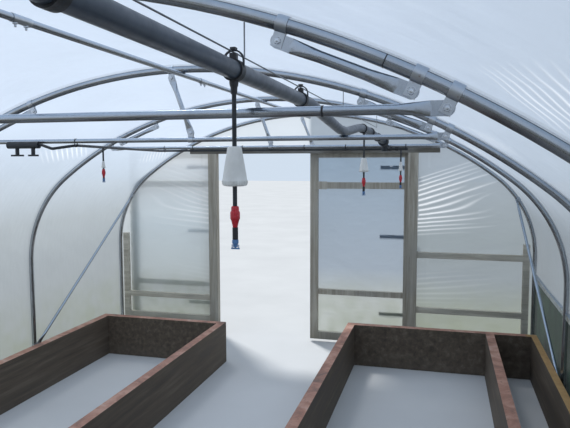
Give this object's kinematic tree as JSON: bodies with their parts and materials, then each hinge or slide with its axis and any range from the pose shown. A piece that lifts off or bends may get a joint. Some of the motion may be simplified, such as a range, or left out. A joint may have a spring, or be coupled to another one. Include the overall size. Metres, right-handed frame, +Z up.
{
  "type": "polytunnel greenhouse",
  "caption": "Walk-in polytunnel of galvanised hoops under a clear film cover, with timber ends, double doors, raised beds and an overhead mist line.",
  "frame": {"origin": "middle of the outline at ground level", "axes": "+Y along the tunnel towards the end with the moving doors, +X across it to the right seen from the near end, +Z up"},
  "size_m": [4.4202, 7.8411, 2.3958],
  "materials": {
    "galvanised_tube": "satin, lightly weathered",
    "galvanised_fitting": "dull",
    "polythene_film": "translucent, creased",
    "shade_net": "woven",
    "film_rail": "bright",
    "weathered_timber": "grey-brown, sawn",
    "bed_board": "stained dark, painted edge",
    "hinge_steel": "zinc plated, dull",
    "pipe_plastic": "smooth",
    "hose_rubber": "matt",
    "weight_plastic": "matt white",
    "valve_plastic": "gloss red",
    "nozzle_plastic": "matt blue"
  },
  "bodies": {
    "frame": {"hoops": "galvanised_tube", "ridge_tube": "galvanised_tube", "crop_bars": "galvanised_tube", "hoop_braces": "galvanised_tube", "king_posts": "galvanised_tube", "corner_braces": "galvanised_tube", "bar_clips": "galvanised_fitting", "brace_clips": "galvanised_fitting", "king_clips": "galvanised_fitting", "corner_clips": "galvanised_fitting", "king_seats": "galvanised_fitting", "left_wall_cover": "polythene_film", "right_wall_cover": "polythene_film", "left_shoulder_cover": "polythene_film", "right_shoulder_cover": "polythene_film", "left_roof_cover": "polythene_film", "right_roof_cover": "polythene_film", "far_end_film": "polythene_film", "near_end_film": "polythene_film", "right_side_net": "shade_net", "right_side_rail": "film_rail", "far_door_posts": "weathered_timber", "near_door_posts": "weathered_timber", "far_header": "weathered_timber", "near_header": "weathered_timber", "far_wall_rails": "weathered_timber", "near_wall_rails": "weathered_timber", "near_door_frames": "weathered_timber", "near_door_films": "polythene_film", "near_door_hinges": "hinge_steel", "far_hinge_pins": "hinge_steel", "near_hinge_pins": "hinge_steel", "left_bed": "bed_board", "right_bed": "bed_board", "mist_pipe": "pipe_plastic", "pipe_reducer": "hose_rubber", "branch_hose": "hose_rubber", "hose_manifold": "hose_rubber", "pipe_wire": "galvanised_fitting", "wire_ties": "galvanised_fitting", "pipe_hangers": "hose_rubber", "near_drop_hose": "hose_rubber", "middle_drop_hose": "hose_rubber", "right_drop_hose": "hose_rubber", "left_drop_hose": "hose_rubber", "drop_weights": "weight_plastic", "drop_valves": "valve_plastic", "mist_nozzles": "nozzle_plastic"},
    "left_door": {"left_door_frame": "weathered_timber", "left_door_film": "polythene_film", "left_door_hinges": "hinge_steel"},
    "right_door": {"right_door_frame": "weathered_timber", "right_door_film": "polythene_film", "right_door_hinges": "hinge_steel"}
  },
  "joints": [
    {"name": "left_door_swing", "type": "hinge", "parent": "frame", "child": "left_door", "pos_m": [-1.058, 3.8624, 1], "axis": [0, 0, -1], "range_deg": [0, 180]},
    {"name": "right_door_swing", "type": "hinge", "parent": "frame", "child": "right_door", "pos_m": [1.058, 3.8624, 1], "axis": [0, 0, -1], "range_deg": [0, 180]}
  ]
}
